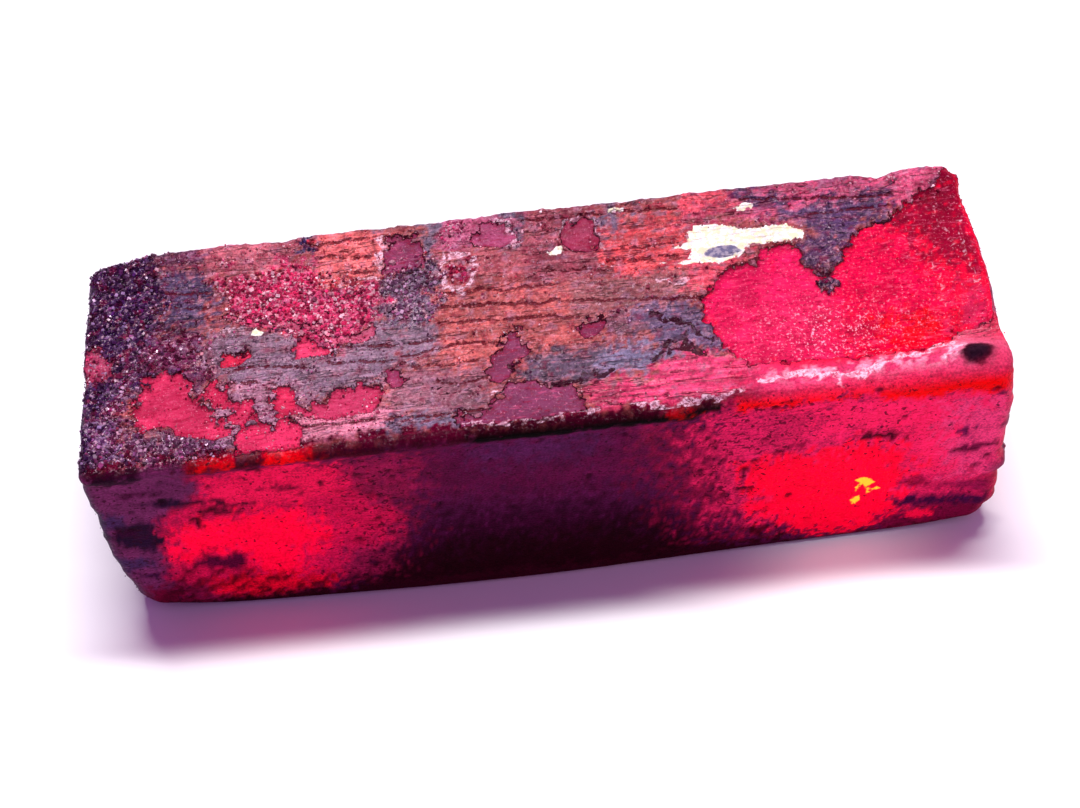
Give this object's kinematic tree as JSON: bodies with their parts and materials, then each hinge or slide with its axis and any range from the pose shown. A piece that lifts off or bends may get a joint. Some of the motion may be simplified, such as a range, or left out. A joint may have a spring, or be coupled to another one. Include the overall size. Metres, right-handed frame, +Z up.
{
  "type": "red beryl crystal",
  "caption": "Stout square-ended red beryl crystal lying on a long face, striated lengthwise, with a dark flaking crust over translucent red.",
  "frame": {"origin": "middle of the flat long face that the crystal lies on, under the middle of its bounding box", "axes": "+X along the prism, +Y from its front long face to its back one, +Z up out of the flaked top face"},
  "size_m": [0.0509, 0.0148, 0.0161],
  "materials": {
    "red_beryl": "translucent raspberry-red crystal, satin, under a thin dull purple-brown striated crust"
  },
  "bodies": {
    "root": {"crystal": "red_beryl"}
  },
  "joints": []
}
